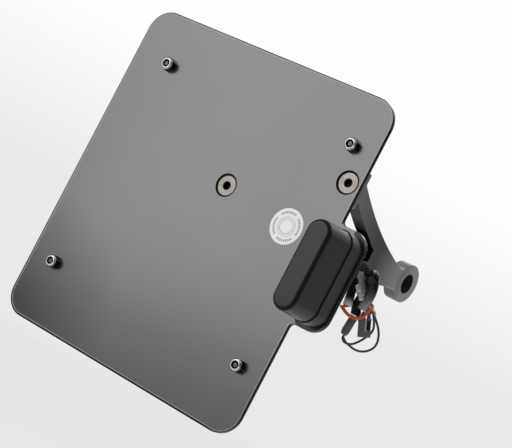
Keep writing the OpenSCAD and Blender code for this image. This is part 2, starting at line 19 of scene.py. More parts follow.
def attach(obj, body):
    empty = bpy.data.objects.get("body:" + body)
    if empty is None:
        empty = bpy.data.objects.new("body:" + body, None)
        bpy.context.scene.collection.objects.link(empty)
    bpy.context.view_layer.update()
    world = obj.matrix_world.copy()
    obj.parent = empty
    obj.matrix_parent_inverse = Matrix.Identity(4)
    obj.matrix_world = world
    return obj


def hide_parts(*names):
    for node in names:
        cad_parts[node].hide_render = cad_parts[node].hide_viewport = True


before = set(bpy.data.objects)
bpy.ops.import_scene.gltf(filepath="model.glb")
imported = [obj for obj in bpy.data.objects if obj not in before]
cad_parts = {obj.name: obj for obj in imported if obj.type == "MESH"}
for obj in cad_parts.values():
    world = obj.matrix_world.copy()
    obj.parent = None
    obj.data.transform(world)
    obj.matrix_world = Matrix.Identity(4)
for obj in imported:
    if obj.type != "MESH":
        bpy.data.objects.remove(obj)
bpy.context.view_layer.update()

# %% [markdown]
# ## Two ways to say where a thing is
#
# Drawings of the bracket measure in millimetres from the plate's lower left front corner: across,
# back and up. `at` turns such a place into a point of this scene. The cable bundle behind the ear
# is turned by 32 degrees, so it is easier to draw square and turn once: `in_bundle` does that, and
# `bundle_direction` does it for a direction.

# %% Places
AXLE = Vector((171.75, 105.5, 121.0))
BUNDLE = Vector((188.0, 42.2, 0.0))
BUNDLE_TURN = radians(32)


def at(across, back, up):
    """A point of the drawing, in millimetres, as a point of the scene in metres."""
    return (Vector((across, back, up)) - AXLE) / 1000


def across_at(across):
    """How far to the right of the axle a distance from the plate's left edge lies, in metres."""
    return at(across, 0, 0).x


def back_at(back):
    """How far behind the axle a distance from the plate's front face lies, in metres."""
    return at(0, back, 0).y


def up_at(up):
    """How far above the axle a height over the plate's lower edge lies, in metres."""
    return at(0, 0, up).z


def bundle_direction(along, across, up):
    """A direction of the cable bundle's own frame as a direction of the scene."""
    return Matrix.Rotation(BUNDLE_TURN, 3, "Z") @ Vector((along, across, up))


def in_bundle(along, across, up):
    """A point of the cable bundle's own frame as a point of the scene."""
    return at(*(BUNDLE + bundle_direction(along, across, up)))


print("front corner at", at(0, 0, 0), "bundle at", in_bundle(0, 0, 100))

# %% [markdown]
# ## The camera
#
# A long lens from the right of the plate, level with it and rolled, so that the plate seems to
# stand on its lower corner. Three directions turn the camera: its right, its up, and the way back
# from the object. A long lens keeps the plate's edges almost parallel, as a product photographer
# wants.

# %% Camera
camera_data = bpy.data.cameras.new("studio_camera")
camera_data.lens = 112.83
camera_data.sensor_width = 36
camera = bpy.data.objects.new("studio_camera", camera_data)
bpy.context.scene.collection.objects.link(camera)
bpy.context.scene.camera = camera
RIGHT = Vector((0.7478, 0.4775, 0.4613))
UP = Vector((-0.3702, -0.2768, 0.8867))
BACK = Vector((0.5511, -0.8339, -0.0302))
camera.matrix_world = Matrix.Translation((0.44345, -0.8366, -0.038)) @ Matrix(
    (RIGHT, UP, BACK)).transposed().to_4x4()
print("camera at", camera.matrix_world.translation)

# %% [markdown]
# ## Wires first
#
# A wire is a curve with a round profile. Blender draws a smooth line through a handful of given
# points, so the wire bends as a springy lead does. The curve stays a curve: its own line is then
# the wire's true length. The same helper makes the rubber boots, whose radius changes from point to
# point, and they are turned into meshes further down.


# %% Wires and boots from curves
def select_only(piece):
    """Selects one object alone, because an operator acts on everything that is selected."""
    bpy.ops.object.select_all(action="DESELECT")
    piece.select_set(True)
    bpy.context.view_layer.objects.active = piece


def tube(name, points, radius, sizes=None, closed=False):
    """A curve of round section through the points. sizes widen or narrow it from point to point."""
    data = bpy.data.curves.new(name, "CURVE")
    data.dimensions = "3D"
    data.bevel_depth = radius
    data.bevel_resolution = 6
    data.resolution_u = 8
    data.use_fill_caps = not closed
    spline = data.splines.new("BEZIER")
    spline.bezier_points.add(len(points) - 1)
    spline.use_cyclic_u = closed
    for i, (knot, place) in enumerate(zip(spline.bezier_points, points)):
        knot.co = place
        knot.handle_left_type = knot.handle_right_type = "AUTO"
        knot.radius = sizes[i] if sizes else 1.0
    piece = bpy.data.objects.new(name, data)
    bpy.context.scene.collection.objects.link(piece)
    return piece


def run_of(points):
    """The length of a line through the points, in metres."""
    return sum((b - a).length for a, b in zip(points, points[1:]))


CABLE = 0.004
LIGHT_X, LIGHT_Z = 190.9, 100.2
lamp_route = [at(LIGHT_X + x, y, LIGHT_Z + z) for x, y, z in [
    (0, 5, 0), (0, 8, 0), (-0.1, 11.2, 1.4), (-0.4, 14, 4.4), (-0.8, 16.4, 8), (-1.3, 19, 11.6),
    (-1.8, 22.2, 14.6), (-2.3, 26, 16.3), (-2.6, 29.6, 16.2), (-2.73, 32.99, 15.23),
    (-2.73, 36.03, 14.24)]]
lamp_cable = tube("lamp_cable_skin", lamp_route, CABLE / 2)
print("lamp cable of", round(run_of(lamp_route) * 1000, 1), "mm")

# %% [markdown]
# The two thin leads loop between the socket's slanted top and the plug's lower tip. Both ends lean,
# so a small helper for each gives the places where a lead goes in.

# %% Leads between socket and plug
LEAD = 0.0013
SOCKET_LEAN, PLUG_LEAN = radians(23), radians(3.7)
SOCKET_TOP = (7, -1, 91.3)
PLUG_TIP = (0.55, 1.2, 77.9)


def on_socket(a, b, out):
    """A point on the socket's slanted top, in the bundle's frame."""
    c, s = cos(SOCKET_LEAN), sin(SOCKET_LEAN)
    return (SOCKET_TOP[0] + a * c - out * s, SOCKET_TOP[1] + b, SOCKET_TOP[2] + a * s + out * c)


def on_plug(a, b, out):
    """A point on the plug's lower tip, in the bundle's frame."""
    c, s = cos(PLUG_LEAN), sin(PLUG_LEAN)
    return (PLUG_TIP[0] + a * c - out * s, PLUG_TIP[1] + b, PLUG_TIP[2] - a * s - out * c)


black_route = [in_bundle(*p) for p in [
    on_socket(2.4, 1, 0), on_socket(2.4, 1, 1.2), (8.1, 1.3, 95), (8, 3, 96.6), (9, 4.3, 97),
    (10.4, 4.3, 95.9), (12.2, 3.7, 93.9), (14.3, 3.2, 91.8), (16.6, 2.9, 89), (18.4, 2.9, 85.6),
    (19.2, 3, 81.1), (17.9, 3, 77.6), (14.5, 3, 74.6), (10.7, 2.9, 73.5), (6.8, 2.8, 73.9),
    (3.6, 2.4, 74.9), (1.7, 2.1, 76.2), on_plug(0.6, 0.75, 0.8), on_plug(0.6, 0.75, 0)]]
blue_route = [in_bundle(*p) for p in [
    on_socket(1.5, -0.9, 0), on_socket(1.5, -0.9, 1.2), (7.8, -2.3, 94.4), (8.5, -2.2, 95.7),
    (9.7, -1.5, 95.4), (10.9, -0.6, 93.8), (12.6, 0.6, 91.2), (13.8, 1.5, 88), (13.6, 2, 85),
    (12, 2.2, 81.7), (9.6, 1.8, 78), (6.7, 1.1, 75.2), (4, 0.6, 74.4), (2, 0.45, 74.9),
    on_plug(0.4, -0.75, 1.3), on_plug(0.4, -0.75, 0)]]
black_lead = tube("black_lead_skin", black_route, LEAD / 2)
blue_lead = tube("blue_lead_skin", blue_route, LEAD / 2)
for route in (black_route, blue_route):
    print("lead of", round(run_of(route) * 1000, 1), "mm")

# %% [markdown]
# ## Shader maths as sums
#
# A procedural finish is arithmetic on the place of a point: its distance from a screw's centre, a
# little noise, a stripe. `Flow` wraps a socket, so that `1 - ring * 0.2` adds the Math nodes by
# itself. `Nodes.add` adds any other node: its kind, its settings and what goes into its sockets.
# `Finish` is a material with the few patterns that metal, plastic and rubber share.


# %% Materials in Python expressions
class Flow:
    """A number on its way through a shader."""

    def __init__(self, finish, socket):
        self.finish, self.socket = finish, socket

    def maths(self, operation, *others):
        return self.finish.add("Math", {"operation": operation}, dict(enumerate((self, *others))))

    def __add__(self, other):
        return self.maths("ADD", other)

    def __mul__(self, other):
        return self.maths("MULTIPLY", other)

    def __sub__(self, other):
        return self.maths("SUBTRACT", other)

    def __rsub__(self, other):
        return self.finish.add("Math", {"operation": "SUBTRACT"}, {0: other, 1: self})

    def __gt__(self, other):
        return self.maths("GREATER_THAN", other)

    def __lt__(self, other):
        return self.maths("LESS_THAN", other)

    def within(self, low, high):
        """1 between two values, and 0 elsewhere."""
        return (self > low) * (self < high)

    def limited(self, low=0, high=1):
        """The value, held between two others."""
        return self.maths("MAXIMUM", low).maths("MINIMUM", high)

    __radd__, __rmul__ = __add__, __mul__


class Nodes:
    """A node tree that grows one node at a time."""

    def __init__(self, tree):
        self.tree = tree

    def add(self, kind, settings=None, inputs=None, output=0):
        node = self.tree.nodes.new("ShaderNode" + kind)
        for key, value in (settings or {}).items():
            setattr(node, key, value)
        for key, value in (inputs or {}).items():
            if isinstance(value, Flow):
                self.tree.links.new(value.socket, node.inputs[key])
            else:
                node.inputs[key].default_value = value
        return Flow(self, node.outputs[output])

    def show(self, flow):
        """Sends a shader to the tree's output."""
        for node in self.tree.nodes:
            if node.type in ("OUTPUT_MATERIAL", "OUTPUT_WORLD"):
                self.tree.links.new(flow.socket, node.inputs["Surface"])


class Finish(Nodes):
    """One material, built around its main shader."""

    def __init__(self, name, colour, roughness, metallic=0.0, **constants):
        self.material = bpy.data.materials.new(name)
        self.material.use_nodes = True
        self.tree = self.material.node_tree
        self.shader = self.tree.nodes["Principled BSDF"]
        self.colour = colour
        self.set("Base Color", (*colour, 1))
        self.set("Roughness", roughness)
        self.set("Metallic", metallic)
        for socket, value in constants.items():
            self.set(socket.replace("_", " "), value)

    def set(self, socket, value):
        if isinstance(value, Flow):
            self.tree.links.new(value.socket, self.shader.inputs[socket])
        else:
            self.shader.inputs[socket].default_value = value

    def place(self):
        """The point's own place, in metres."""
        return self.add("TexCoord", output="Object")

    def noise(self, scale, detail=2.0, stretch=(1, 1, 1)):
        """Noise from 0 to 1. stretch above 1 squeezes its grains along that axis."""
        spread = self.add("Mapping", {"vector_type": "TEXTURE"},
                          {"Vector": self.place(), "Scale": tuple(1 / s for s in stretch)})
        return self.add("TexNoise", None,
                        {"Vector": spread, "Scale": scale, "Detail": detail}, "Fac")

    def blend(self, amount, first, second):
        """A colour between two colours."""
        return self.add("Mix", {"data_type": "RGBA", "clamp_factor": True},
                        {"Factor": amount, 6: first, 7: second}, 2)

    def shade(self, colour, factor):
        return (*[min(1.0, c * factor) for c in colour], 1)

    def bump(self, height, distance, strength):
        self.set("Normal", self.add("Bump", None, {"Height": height, "Distance": distance,
                                                   "Strength": strength}))

    def axis(self, name):
        """The point's place along x, y or z."""
        return self.add("SeparateXYZ", None, {0: self.place()}, name)

    def along(self, direction, start):
        """How far the point lies from start along a direction, in metres."""
        run = self.add("VectorMath", {"operation": "DOT_PRODUCT"},
                       {0: self.place(), 1: direction}, "Value")
        return run - start.dot(direction)

    def ring_distance(self, centres):
        """The distance from the nearest of some axes that run front to back, in metres."""
        nearest = None
        for centre in centres:
            off = self.axis("X") - centre.x, self.axis("Z") - centre.z
            length = (off[0] * off[0] + off[1] * off[1]).maths("SQRT")
            nearest = length if nearest is None else nearest.maths("MINIMUM", length)
        return nearest


print("shader helpers ready")

# %% [markdown]
# ## Metals
#
# Several finishes draw rings round the screws, so their places come first. In every finish only
# colour, roughness, metalness and bump change over the surface, because an exported model can
# carry them. All else is a fixed number on the shader.

# %% Places of the screws
ARM_SCREWS = [at(102.4, 0, 121.5), at(171.75, 0, 151)]
PLATE_SCREWS = [at(28, 0, 170.1), at(164.6, 0, 170.1), at(19.6, 0, 37.3), at(164.6, 0, 37.3)]
LIGHT_BOLTS = [at(LIGHT_X, 0, 81.9), at(LIGHT_X, 0, 118.5)]
print("screws:", len(ARM_SCREWS), "in the arm,", len(PLATE_SCREWS), "in the plate")

# %% [markdown]
# The plate has a metallic grey coat: satin, very slightly pebbled, and a little uneven. Painted
# shade darkens its lower left corner and turns its edge faces near black. Along its outline runs a
# painted dark line of shade with a painted highlight inside it. The distance from the outline is
# worked out as for any rounded rectangle, from how far a point lies past the straight stretches.
# The line is drawn in the finish, and no deeper bevel is cut for it, because the real edge is
# sharp.

# %% Plate outline
PLATE_MIDDLE = at(90, 0, 100)
HALF_WIDTH, HALF_HEIGHT, CORNER_RADIUS = 0.09, 0.1, 0.014
LINE_WIDTH, HIGHLIGHT_WIDTH = 0.00105, 0.0006
SHADOW_BLACK = (0.01, 0.01, 0.01, 1)


def inside_outline(f):
    """How far a point lies inside the plate's outline, up to the corner's radius."""
    sides = (("X", PLATE_MIDDLE.x, HALF_WIDTH), ("Z", PLATE_MIDDLE.z, HALF_HEIGHT))
    past = [((f.axis(axis) - middle).maths("ABSOLUTE") - (half - CORNER_RADIUS)).maths("MAXIMUM", 0)
            for axis, middle, half in sides]
    return CORNER_RADIUS - (past[0] * past[0] + past[1] * past[1]).maths("SQRT")


def outlined(f, face, front):
    """Adds a painted line of shade along the outline and a painted highlight inside it. Both narrow
    upwards and to the right.
    """
    inwards = inside_outline(f)
    up = f.axis("Z") - up_at(0)
    rightwards = ((f.axis("X") - across_at(164)) * 70).limited()
    width = (LINE_WIDTH - up * 0.0022) * (1 - rightwards * 0.85)
    beside_ear = (f.axis("X") > across_at(170)) * f.axis("Z").within(up_at(70), up_at(130))
    rim = (1 - beside_ear) * front
    # Painted highlight just inside the outline, then the painted line of shade along it.
    painted_highlight = (inwards < width + HIGHLIGHT_WIDTH) * rim * (1.1 - up * 4)
    face = f.blend(painted_highlight, face, f.shade(f.colour, 1.9))
    return f.blend((inwards < width) * rim, face, SHADOW_BLACK)


print("outline ready")

# %% [markdown]
# Painted shade darkens two places on the front face: a ring round each countersunk head, and a
# painted shadow on the ear round the light, with a hairline of light left in it. The light's
# footprint is a slot, a straight stretch with two round ends, so its distance is measured the same
# way as the outline's.

# %% Plate finish
HEAD_RING = 0.0069
LIGHT_STRAIGHT, SHADOW_EDGE, HAIRLINE = 0.0205, 0.0112, (0.0086, 0.0089)


def painted_shadow_round_light(f):
    """1 where a shadow is painted on the ear beside and below the light, except along a hairline of
    light.
    """
    off = f.axis("X") - across_at(LIGHT_X)
    past = ((f.axis("Z") - up_at(LIGHT_Z)).maths("ABSOLUTE") - LIGHT_STRAIGHT).maths("MAXIMUM", 0)
    distance = (off * off + past * past).maths("SQRT")
    beside = (off > -0.001).maths("MAXIMUM", f.axis("Z") < up_at(79))
    hairline = (off > 0) * distance.within(*HAIRLINE)
    return beside * (distance < SHADOW_EDGE) * (1 - hairline) * (f.axis("X") > across_at(180))


def plate_grey():
    f = Finish("plate_grey", (0.163, 0.163, 0.165), 0.24, 0.94)
    front = f.axis("Y") < back_at(0.3)
    face = f.blend(f.noise(9, 2), f.shade(f.colour, 0.93), f.shade(f.colour, 1.08))
    # Painted shade: darker towards the lower left corner.
    from_corner = f.add("VectorMath", {"operation": "DISTANCE"},
                        {0: f.place(), 1: at(0, 0, 0)}, "Value")
    face = f.blend((0.08 - from_corner) * 14, face, f.shade(f.colour, 0.5))
    face = outlined(f, face, front)
    # Painted shade: a dark ring in the countersink round each arm screw's head.
    shaded_ring = (f.ring_distance(ARM_SCREWS) < HEAD_RING) * front
    face = f.blend(shaded_ring, face, (0.008, 0.008, 0.008, 1))
    # Painted shadow on the ear round the light.
    face = f.blend(painted_shadow_round_light(f) * front * 0.8, face, SHADOW_BLACK)
    # Painted shade: the plate's edge faces are darkened to near black.
    side = f.axis("Y").within(back_at(0.25), back_at(2.75))
    f.set("Base Color", f.blend(side, face, (0.015, 0.015, 0.016, 1)))
    f.set("Roughness", f.noise(45, 3) * 0.04 + 0.24)
    f.bump(f.noise(2600, 1), 0.00002, 0.5)
    return f.material


finishes = {"plate_grey": plate_grey()}
print("plate finish ready")

# %% [markdown]
# The arm is milled from one bar and anodised grey, so long faint cutter marks run over it. Its boss
# was turned, which leaves circles. Painted light makes the bar brightest near the boss, darker
# along the web and lighter again near the plate. Painted shade darkens the boss's round side, and
# painted light brightens the boss's face towards the back. The bore and the faces that look forward
# are not metallic, and painted shade darkens them: the forward faces from grey near the plate to
# black further back, the bore to near black. An attribute of the mesh, `front_edge`, tells those
# faces apart. The arm gets it further down, with its eased edges.

# %% Arm finish
BORE_EDGE, BOSS_EDGE, BEYOND_BOSS = 0.00606, 0.01215, 0.0128
BOSS_SIDE, BOSS_FACE = (0.0112, 0.0122), across_at(175.9)
TURNING_PITCH = 0.0005


def arm_grey():
    f = Finish("arm_grey", (0.15, 0.15, 0.153), 0.42, 0.94, Specular_IOR_Level=0.0)
    y, z = f.axis("Y"), f.axis("Z")
    r = (y * y + z * z).maths("SQRT")
    on_boss = (r < BOSS_EDGE) * (f.axis("X") > BOSS_FACE)
    boss_side = r.within(*BOSS_SIDE) * (1 - on_boss)

    def tone(factor):
        return f.shade(f.colour, factor)

    # Painted light and shade along the bar, by distance from the axle.
    bar = f.blend(r * 32 - 0.26 - f.noise(25, 3) * 0.4, tone(2.7), tone(0.72))
    bar = f.blend(r * 25 - 1.4, bar, tone(1.8))
    # Painted shade on the boss's round side.
    bar = f.blend(boss_side, bar, tone(1.1))
    # Painted light on the boss's face, lighter towards the back.
    boss = f.blend(y * 110 + 1.1, tone(1.95), tone(3.1))
    # Painted shade on the forward faces, black further back, and in the bore.
    black = f.blend((y - back_at(24)) * 85, tone(1.05), tone(0.03))
    black = f.blend(r < BORE_EDGE, black, tone(0.15))
    front_edge = f.add("Attribute", {"attribute_name": "front_edge"}, output="Fac") > 0.5
    # Bore and forward faces take the painted shade and lose their metal.
    dull_and_shaded = (r < BORE_EDGE).maths("MAXIMUM", front_edge * (r > BEYOND_BOSS))
    f.set("Base Color", f.blend(dull_and_shaded, f.blend(on_boss, bar, boss), black))
    f.set("Metallic", (1 - dull_and_shaded) * 0.94)
    marks = f.noise(900, 2, stretch=(1, 0.06, 1))
    circles = (r * (2 * pi / TURNING_PITCH)).maths("SINE")
    f.set("Roughness", marks * 0.14 + 0.32)
    f.bump(marks * 0.6 + f.noise(3500, 1) * 0.4 + circles * on_boss * 0.3, 0.00002, 0.6)
    return f.material


finishes["arm_grey"] = arm_grey()
print("arm finish ready")

# %% [markdown]
# The screws and nuts are zinc plated and turned, which leaves fine circles round each centre. The
# circles catch the light as a bright double fan. Painted shade turns their sockets and sides near
# black, up to a given depth behind the plate's front face.

# %% Screw and nut finishes
GROOVE_PITCH = 0.0004


def turned_metal(name, colour, centres, inner, outer, depth=3):
    """Bright between two radii round the nearest centre, and darkened by painted shade inside and
    outside them, up to depth millimetres behind the plate's front face."""
    f = Finish(name, colour, 0.26, 1.0)
    r = f.ring_distance(centres)
    circles = (r * (2 * pi / GROOVE_PITCH)).maths("SINE")
    grime = f.noise(700, 3)
    bright = f.blend(grime, f.shade(colour, 0.78), f.shade(colour, 1.06))
    # Painted shade: sockets and sides near black.
    painted_shade = (r < inner).maths("MAXIMUM", r > outer) * (f.axis("Y") < back_at(depth))
    f.set("Base Color", f.blend(painted_shade, bright, f.shade(colour, 0.03)))
    f.set("Roughness", circles * 0.05 + grime * 0.12 + 0.2)
    f.bump(circles, 0.00003, 0.6)
    return f.material


for name, *recipe in [
        ("bright_zinc", (0.33, 0.305, 0.275), ARM_SCREWS, 0.0026, 0.0057, 9),
        ("nut_steel", (0.92, 0.92, 0.91), PLATE_SCREWS + LIGHT_BOLTS, 0, 0.0033),
        ("black_steel", (0.12, 0.12, 0.12), PLATE_SCREWS, 0, 0.0012)]:
    finishes[name] = turned_metal(name, *recipe)
print("metals:", sorted(finishes))

# %% [markdown]
# ## Plastics and rubber
#
# Moulded plastic and rubber share one recipe: a fine matt grain, and a speckle of dust that makes
# the colour and the gloss uneven. The light's yellow phosphor chips look the same way. Only the
# numbers differ.


# %% Moulded finishes
def moulded(name, colour, roughness, grain, depth, dust, level):
    """A grain of some fineness and depth, under dust of some strength."""
    f = Finish(name, colour, roughness, Specular_IOR_Level=level)
    speckle = f.noise(260, 4)
    f.set("Base Color", f.blend(speckle, f.shade(colour, 1 - dust), f.shade(colour, 1 + dust)))
    f.set("Roughness", speckle * 0.12 + (roughness - 0.06))
    f.bump(f.noise(grain, 2), depth, 0.5)
    return f.material


for name, *recipe in [
        ("dark_nylon", (0.006, 0.006, 0.007), 0.5, 1800, 0.00003, 0.15, 0.15),
        ("black_rubber", (0.006, 0.006, 0.006), 0.3, 350, 0.00003, 0.3, 0.45),
        ("pale_vinyl", (0.62, 0.62, 0.625), 0.35, 500, 0.00003, 0.25, 0.5),
        ("band_orange", (0.62, 0.09, 0.03), 0.45, 1500, 0.00003, 0.25, 0.4),
        ("lead_black", (0.03, 0.045, 0.042), 0.35, 2000, 0.00002, 0.2, 0.5),
        ("lead_blue", (0.035, 0.04, 0.12), 0.35, 2000, 0.00002, 0.2, 0.5),
        ("chip_yellow", (0.85, 0.70, 0.22), 0.4, 1500, 0.00002, 0.1, 0.5)]:
    finishes[name] = moulded(name, *recipe)
print("finishes:", len(finishes))

# %% [markdown]
# The light's housing is the same plastic. Painted shade turns two bands on it black, and they are
# made matt: the chamfer of its front and the joint where the cover meets the base. Both catch
# hardly any light.

# %% Housing finish
HOUSING_BANDS = ((-35.35, -34.2), (-12.6, -11.5))


def housing():
    f = Finish("housing_black", (0.008, 0.008, 0.0085), 0.34, Specular_IOR_Level=0.45)
    speckle = f.noise(260, 4)
    chamfer, joint = [f.axis("Y").within(back_at(low), back_at(high))
                      for low, high in HOUSING_BANDS]
    # Painted shade: the chamfer and the joint are black, and also matt.
    matt_and_shaded = chamfer.maths("MAXIMUM", joint)
    plastic = f.blend(speckle, f.shade(f.colour, 0.85), f.shade(f.colour, 1.15))
    f.set("Base Color", f.blend(matt_and_shaded, plastic, (0.001, 0.001, 0.001, 1)))
    f.set("Roughness", speckle * 0.12 + 0.28 + matt_and_shaded * 0.6)
    f.bump(f.noise(1800, 2), 0.00003, 0.5)
    return f.material


finishes["housing_black"] = housing()
print("housing finish ready")

# %% [markdown]
# The boots are black and glossy at the top. Towards their lower end a painted sheen turns them
# pale, and they grow matt. The height, mapped between where the sheen starts and where it is full
# and then squared, gives a slow start and a quick finish.


# %% Boot finishes
def sheen_towards_end(name, sheen_start, sheen_full, pale):
    """Black rubber that a painted sheen turns pale between two heights of the drawing."""
    f = Finish(name, (0.006, 0.006, 0.006), 0.3, Specular_IOR_Level=0.32)
    amount = f.add("MapRange", None, {"Value": f.axis("Z"), "From Min": up_at(sheen_start),
                                      "From Max": up_at(sheen_full)})
    # Painted sheen: pale towards the lower end.
    amount = amount * amount * (f.noise(420, 3) * 0.9 + 0.45)
    f.set("Base Color", f.blend(amount, f.shade(f.colour, 1), (pale, pale, pale, 1)))
    f.set("Roughness", f.noise(260, 3) * 0.12 + amount * 0.3 + 0.14)
    f.bump(f.noise(350, 2), 0.00003, 0.5)
    return f.material


finishes["sheened_boot"] = sheen_towards_end("sheened_boot", 109, 94.5, 0.5)
finishes["sheened_spare_boot"] = sheen_towards_end("sheened_spare_boot", 98.4, 94.8, 0.65)
print("boot finishes ready")

# %% [markdown]
# Plug and socket are grey vinyl. Painted shade makes the socket's mouth black, and its rim is pale,
# so the finish measures along the socket's own three directions from its slanted top.


# %% Sleeve finish
def sleeve_grey():
    f = Finish("sleeve_grey", (0.11, 0.11, 0.112), 0.4, Specular_IOR_Level=0.4)
    top = in_bundle(*SOCKET_TOP)
    c, s = cos(SOCKET_LEAN), sin(SOCKET_LEAN)
    x, y, z = [f.along(bundle_direction(*way), top) for way in ((c, 0, s), (0, 1, 0), (-s, 0, c))]
    mouth = (x > 0.00085) * (y < 0.00115) * z.within(-0.00645, -0.00095)
    rim = x.within(0.0002, 0.00085) * (z > -0.0072)
    vinyl = f.blend(f.noise(260, 4), f.shade(f.colour, 0.8), f.shade(f.colour, 1.2))
    vinyl = f.blend(rim, vinyl, (0.42, 0.42, 0.42, 1))
    # Painted shade: the socket's mouth is black.
    f.set("Base Color", f.blend(mouth, vinyl, (0.006, 0.006, 0.006, 1)))
    f.set("Roughness", f.noise(200, 2) * 0.12 + 0.34)
    f.bump(f.noise(900, 2), 0.00003, 0.5)
    return f.material


finishes["sleeve_grey"] = sleeve_grey()
print("sleeve finish ready")

# %% [markdown]
# Three small things are striped along their height: the copper tracks under the green lacquer of
# the circuit board, the flutes of the side window, and the crimps of the tinned bullet. A sine of
# the height draws all three.

# %% Board, window and tin
FLUTES = 6000


def striped(f, waves):
    """A sine along the height, from -1 to 1."""
    return (f.axis("Z") * waves).maths("SINE")


def board_green():
    f = Finish("board_green", (0.02, 0.11, 0.045), 0.35)
    tracks = striped(f, 2600) > 0.55
    f.set("Base Color", f.blend(tracks, f.shade(f.colour, 1), (0.04, 0.2, 0.08, 1)))
    f.set("Roughness", f.noise(200) * 0.1 + 0.3)
    f.bump(tracks, 0.00003, 0.5)
    return f.material


def clear_lens():
    f = Finish("clear_lens", (0.92, 0.95, 0.95), 0.12, Transmission_Weight=1.0, IOR=1.5)
    f.set("Roughness", f.noise(300) * 0.06 + 0.08)
    f.bump(striped(f, FLUTES), 0.00005, 0.6)
    return f.material


def tinned():
    f = Finish("tinned", (0.93, 0.92, 0.89), 0.35, 0.85)
    f.set("Base Color", f.blend(f.noise(350, 3), f.shade(f.colour, 0.6), f.shade(f.colour, 1.15)))
    f.set("Roughness", f.noise(300, 3) * 0.2 + 0.25)
    f.bump(striped(f, FLUTES), 0.00003, 0.5)
    return f.material


finishes.update(board_green=board_green(), clear_lens=clear_lens(), tinned=tinned())
print("finishes:", len(finishes))

# %% [markdown]
# ## The round sticker
#
# A white foil disc with a fine printed border. The print is generic: two thin rings, and between
# them short ticks that break off at the sides, drawn from the distance and the angle of each point.


# %% Sticker finish
def silver_foil():
    f = Finish("silver_foil", (0.90, 0.90, 0.905), 0.35, Specular_IOR_Level=0.5)
    centre = at(150.3, 0, 115.6)
    x, z = f.axis("X") - centre.x, f.axis("Z") - centre.z
    r = (x * x + z * z).maths("SQRT")
    angle = z.maths("ARCTAN2", x)
    ticks = ((angle * 44).maths("SINE") > -0.1) * r.within(0.0073, 0.0086)
    ticks = ticks * ((angle * 2 + 0.9).maths("SINE").maths("ABSOLUTE") > 0.28)
    rings = r.within(0.0041, 0.0044).maths("MAXIMUM", r.within(0.0054, 0.0056))
    ink = ticks.maths("MAXIMUM", rings) * 0.9
    f.set("Base Color", f.blend(ink, f.shade(f.colour, 1), (0.1, 0.1, 0.11, 1)))
    f.set("Roughness", f.noise(150, 2) * 0.15 + 0.25)
    f.bump(ink, 0.00002, 0.3)
    return f.material


finishes["silver_foil"] = silver_foil()
print("sticker finish ready")

# %% [markdown]
# ## Softened edges
#
# A sharp computer edge gives itself away, because on a real part the edge is a narrow band that
# catches the light. The solids are made of loose triangles, so a copy is merged, and its flat faces
# are dissolved and cut into few triangles. A bevel then runs along every edge that turns by more
# than `least` degrees, and a width of 0 leaves it out. Clamping and loop slide are off, which keeps
# the band one width all the way. Weighted normals keep the large faces looking flat.


# %% Eased copies of the solids
def paint(piece, slot, finish=None):
    """Gives a piece its slot's finish, or a variant of it."""
    piece.data.materials.clear()
    piece.data.materials.append(finishes[finish or slot])


def eased(node, slot, width, segments=2, least=30):
    """A copy of a solid that stands for it, its edges of more than least degrees rounded."""
    piece = bpy.data.objects.new(node + "_skin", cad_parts[node].data.copy())
    bpy.context.scene.collection.objects.link(piece)
    select_only(piece)
    bpy.ops.mesh.customdata_custom_splitnormals_clear()
    bpy.ops.object.mode_set(mode="EDIT")
    bpy.ops.mesh.select_all(action="SELECT")
    bpy.ops.mesh.remove_doubles(threshold=0.000002)
    bpy.ops.mesh.dissolve_limited(angle_limit=radians(0.4))
    bpy.ops.mesh.quads_convert_to_tris(quad_method="BEAUTY", ngon_method="BEAUTY")
    bpy.ops.object.mode_set(mode="OBJECT")
    if width:
        bevel = piece.modifiers.new("bevel", "BEVEL")
        bevel.width, bevel.segments = width, segments
        bevel.limit_method, bevel.angle_limit = "ANGLE", radians(least)
        bevel.use_clamp_overlap = bevel.loop_slide = False
        bevel.miter_outer = "MITER_ARC"
        bpy.ops.object.modifier_apply(modifier="bevel")
    bpy.ops.object.shade_smooth_by_angle(angle=radians(32))
    weighted = piece.modifiers.new("weighted", "WEIGHTED_NORMAL")
    weighted.keep_sharp = True
    bpy.ops.object.modifier_apply(modifier="weighted")
    paint(piece, slot)
    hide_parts(node)
    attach(piece, "root")
    print(node, "eased:", len(piece.data.polygons), "faces")
    return piece


skins = {node: eased(node, *how) for node, *how in [
    ("base_plate", "plate_grey", 0.0003, 3), ("arm", "arm_grey", 0.0004, 3),
    ("arm_screws", "bright_zinc", 0.00015), ("lock_nuts", "nut_steel", 0.0001),
    ("light_base", "housing_black", 0.00012, 2, 50), ("light_cover", "housing_black", 0.0003)]}

# %% [markdown]
# The arm's finish asks which faces look forward. A value per face answers it, and stays with the
# mesh. The solids that need no softer edge keep their own mesh and only get a finish.

# %% Forward faces, and the solids that stay
arm = skins["arm"].data
front_edge = arm.attributes.new("front_edge", "FLOAT", "FACE")
for face in arm.polygons:
    front_edge.data[face.index].value = float(face.normal.y < -0.25)
for name, slot in [("plate_screws", "black_steel"), ("nut_inserts", "dark_nylon"),
                   ("light_lens", "clear_lens"), ("led_board", "board_green"),
                   ("led_chips", "chip_yellow"), ("light_bolts", "nut_steel"),
                   ("light_washers", "nut_steel"), ("light_nuts", "nut_steel"),
                   ("cable_grommet", "black_rubber"), ("round_sticker", "silver_foil")]:
    paint(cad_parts[name], slot)
print("skins:", len(skins))

# %% [markdown]
# ## The tied bundle
#
# Behind the ear the lamp cable enters a bent rubber boot. A shorter boot and a tinned bullet lie
# against it, a rubber band holds them, and two thin leads loop between a plug and a flat socket.
# The boots are curves whose radius changes. Made into meshes, they are remeshed into one closed
# skin and smoothed, as moulded rubber is, and their open ends are bored.


